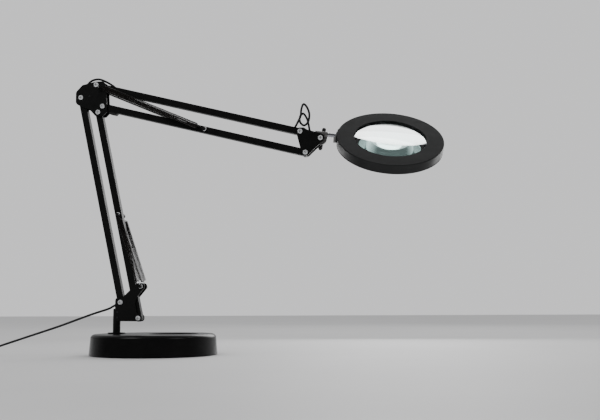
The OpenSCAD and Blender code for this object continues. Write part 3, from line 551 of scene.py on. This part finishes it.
# The slack loop over the head bracket, in mm from its upper pivot
LOOP = [(-3.9, 14.2), (0.5, 24), (1.6, 34), (4.7, 42), (9.6, 38), (13.3, 27.5), (11.6, 15.8),
        (5.2, 10.4), (-0.8, 16), (-0.6, 24.6), (4, 28.6), (9.2, 21.6), (11.6, 13)]
loop_points = [on_top_bar(309.8, 2.4), on_top_bar(310.4, 5.6)]
for i, (x, z) in enumerate(LOOP):
    loop_points.append(off(E, x, z, -3 + 7 * i / (len(LOOP) - 1)))
loop_points += [off(E, 13.4, 2.6, 3.2), off(E, 14.5, -3, 3)]
head_lead = cable("head_lead", [loop_points], "head_cable")
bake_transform(head_lead)


# ---------------------------------------------------------------- lens

LENS_R = 55.0 * MM
LENS_SURFACE_R = 170 * MM
LENS_EDGE_HALF = 1.2 * MM
LENS_CHAMFER = 0.35 * MM
LENS_RINGS = 40          # rings of faces on each side of the lens
LENS_SEGMENTS = 144      # faces round the lens


def revolve(bm, profile, place):
    """Bands of faces from the (radius, height) profile about place's z axis; a radius of 0 is a pole."""
    rings = []
    for radius, height in profile:
        if radius == 0:
            rings.append([bm.verts.new(place @ Vector((0, 0, height)))])
            continue
        rings.append([
            bm.verts.new(place @ Vector((radius * math.cos(a), radius * math.sin(a), height)))
            for a in (math.tau * k / LENS_SEGMENTS for k in range(LENS_SEGMENTS))
        ])
    made = []
    for one, two in zip(rings, rings[1:]):
        band = []
        for k in range(LENS_SEGMENTS):
            n = k + 1
            corners = [one[k % len(one)], one[n % len(one)], two[n % len(two)], two[k % len(two)]]
            band.append(bm.faces.new(list(dict.fromkeys(corners))))
        made.append(band)
    return made


def head_axes():
    """The lens's frame: x along the rod, z up and rolled. A known small fault: z isn't square to x."""
    up = Vector((ROD.z, 0, ROD.x))
    level = Vector((0, 1, 0))
    up = up * math.cos(HEAD_ROLL) - level * math.sin(HEAD_ROLL)
    return axes_at(ROD_START + ROD * HEAD_REACH, ROD, up)


HEAD = head_axes()


def build_lens():
    """A biconvex lens with a ground rim."""
    sag = LENS_SURFACE_R - math.sqrt(LENS_SURFACE_R ** 2 - LENS_R ** 2)
    crown = LENS_EDGE_HALF + sag
    top = []
    for i in range(LENS_RINGS + 1):
        radius = (LENS_R - LENS_CHAMFER) * i / LENS_RINGS
        top.append((radius, crown - LENS_SURFACE_R + math.sqrt(LENS_SURFACE_R ** 2 - radius ** 2)))
    side = [(LENS_R, top[-1][1] - LENS_CHAMFER), (LENS_R, LENS_CHAMFER - top[-1][1])]
    bottom = [(radius, -height) for radius, height in reversed(top)]
    bm = bmesh.new()
    bands = revolve(bm, top + side + bottom, HEAD)
    for band in bands[LENS_RINGS:LENS_RINGS + 3]:   # the two chamfers and the edge between them
        for face in band:
            face.material_index = 1
    lens = new_piece("magnifier_glass", to_mesh("magnifier_glass", bm), "lens_glass", "head_body", "lens")
    lens.data.materials.append(ground_glass("lens_ground_rim"))
    lens.data.set_sharp_from_angle(angle=math.radians(30))


build_lens()


# ---------------------------------------------------------------- studio

FLOOR_HALF = 6.0
LAMPS = (   # name, place, what it points at, diameter, watts
    ("key", (-0.9, -1.2, 1.6), (0.1, 0, 0.2), 1.0, 6),
    ("fill", (1.4, -0.8, 0.9), (0.1, 0, 0.2), 0.8, 2),
    ("back", (0.5, 1.5, 1.3), (0.1, 0, 0.25), 1.6, 6),
    ("glow", (0.37, 0.60, 0.42), (0.37, 0, 0.30), 0.6, 2.6),
    ("left_edge", (-0.35, 0.62, 0.30), (0.3, 0, 0.30), 0.7, 2.6),
    ("right_edge", (1.05, 0.62, 0.30), (0.42, 0, 0.30), 0.7, 2.6),
)


def make_floor():
    bm = bmesh.new()
    for x, y in ((-1, -1), (1, -1), (1, 1), (-1, 1)):
        bm.verts.new((x * FLOOR_HALF, y * FLOOR_HALF, 0))
    bm.faces.new(bm.verts)
    floor = bpy.data.objects.new("floor", to_mesh("floor", bm))
    bpy.context.collection.objects.link(floor)
    g = Graph("floor_paint")
    tone = g.mix(g.spread(g.noise(0.4, 3), 0.0, 1.0), grey(0.62), grey(0.66))
    floor.data.materials.append(g.finish(Base_Color=tone, Roughness=0.6))


def hang_lamps():
    """Soft round lamps. The two edge lamps light only the ring housing, whose rim they pick out."""
    ring_only = bpy.data.collections.new("ring_only")
    ring_only.objects.link(frame["nodes"]["head_top_housing"])
    for name, place, aim, size, power in LAMPS:
        light = bpy.data.lights.new(name, "AREA")
        light.shape = "DISK"
        light.size = size
        light.energy = power
        lamp = bpy.data.objects.new(name, light)
        bpy.context.collection.objects.link(lamp)
        lamp.location = place
        lamp.visible_camera = False
        if name.endswith("edge"):
            lamp.light_linking.receiver_collection = ring_only
        lamp.rotation_euler = (Vector(aim) - Vector(place)).to_track_quat("-Z", "Y").to_euler()


def build_world():
    """A pale backdrop with a strength for each kind of ray. What the lamp mirrors is brighter behind
    it and overhead; what the lens bends towards is a bright wall under a dark ceiling."""
    world = bpy.data.worlds.new("studio")
    bpy.context.scene.world = world
    world.use_nodes = True
    tree = world.node_tree
    tree.nodes.clear()

    def add(kind, inputs=None, **settings):
        node = tree.nodes.new(kind)
        for key, value in settings.items():
            setattr(node, key, value)
        for key, value in (inputs or {}).items():
            if isinstance(value, bpy.types.NodeSocket):
                tree.links.new(value, node.inputs[key])
            else:
                node.inputs[key].default_value = value
        return node

    direction = add("ShaderNodeTexCoord").outputs["Generated"]
    parts = add("ShaderNodeSeparateXYZ", {"Vector": direction})

    def ramp(axis, start, end, low, high, shape="LINEAR"):
        inputs = {"Value": parts.outputs[axis], "From Min": start, "From Max": end,
                  "To Min": low, "To Max": high}
        return add("ShaderNodeMapRange", inputs, interpolation_type=shape).outputs[0]

    behind = ramp("Y", -0.2, 0.9, 0.05, 0.40, "SMOOTHSTEP")
    above = ramp("Z", 0.2, 1.0, 0.0, 0.20)
    wall = ramp("Z", 0.5, 0.85, 1.3, 0.12)
    level = add("ShaderNodeMath", {0: behind, 1: above}, operation="ADD").outputs[0]
    ray = add("ShaderNodeLightPath")
    for kind, strength in (("Diffuse", 0.9), ("Camera", 0.86), ("Transmission", wall)):
        inputs = {"Factor": ray.outputs[f"Is {kind} Ray"], 2: level, 3: strength}
        level = add("ShaderNodeMix", inputs, data_type="FLOAT").outputs[0]
    background = add("ShaderNodeBackground", {"Color": (0.97, 0.97, 0.98, 1), "Strength": level})
    output = add("ShaderNodeOutputWorld")
    tree.links.new(background.outputs[0], output.inputs["Surface"])


CAMERA_AT = (0.358, -1.264, 0.069)
CAMERA_TURN = (6.33, 6.38, -0.26)   # yaw to the left, pitch up and roll, in degrees
FOCAL_LENGTH = 52.14                # on a sensor 36 mm wide


def make_camera():
    yaw, pitch, roll = (math.radians(a) for a in CAMERA_TURN)
    forward = Vector((-math.sin(yaw) * math.cos(pitch), math.cos(yaw) * math.cos(pitch), math.sin(pitch)))
    level = Vector((math.cos(yaw), math.sin(yaw), 0))
    above = level.cross(forward)
    right = level * math.cos(roll) + above * math.sin(roll)
    up = above * math.cos(roll) - level * math.sin(roll)
    data = bpy.data.cameras.new("camera")
    data.lens = FOCAL_LENGTH
    data.sensor_width = 36
    camera = bpy.data.objects.new("camera", data)
    bpy.context.collection.objects.link(camera)
    turn = Matrix((right, up, -forward)).transposed().to_4x4()
    camera.matrix_world = Matrix.Translation(CAMERA_AT) @ turn
    bpy.context.scene.camera = camera


make_floor()
build_world()
hang_lamps()
make_camera()
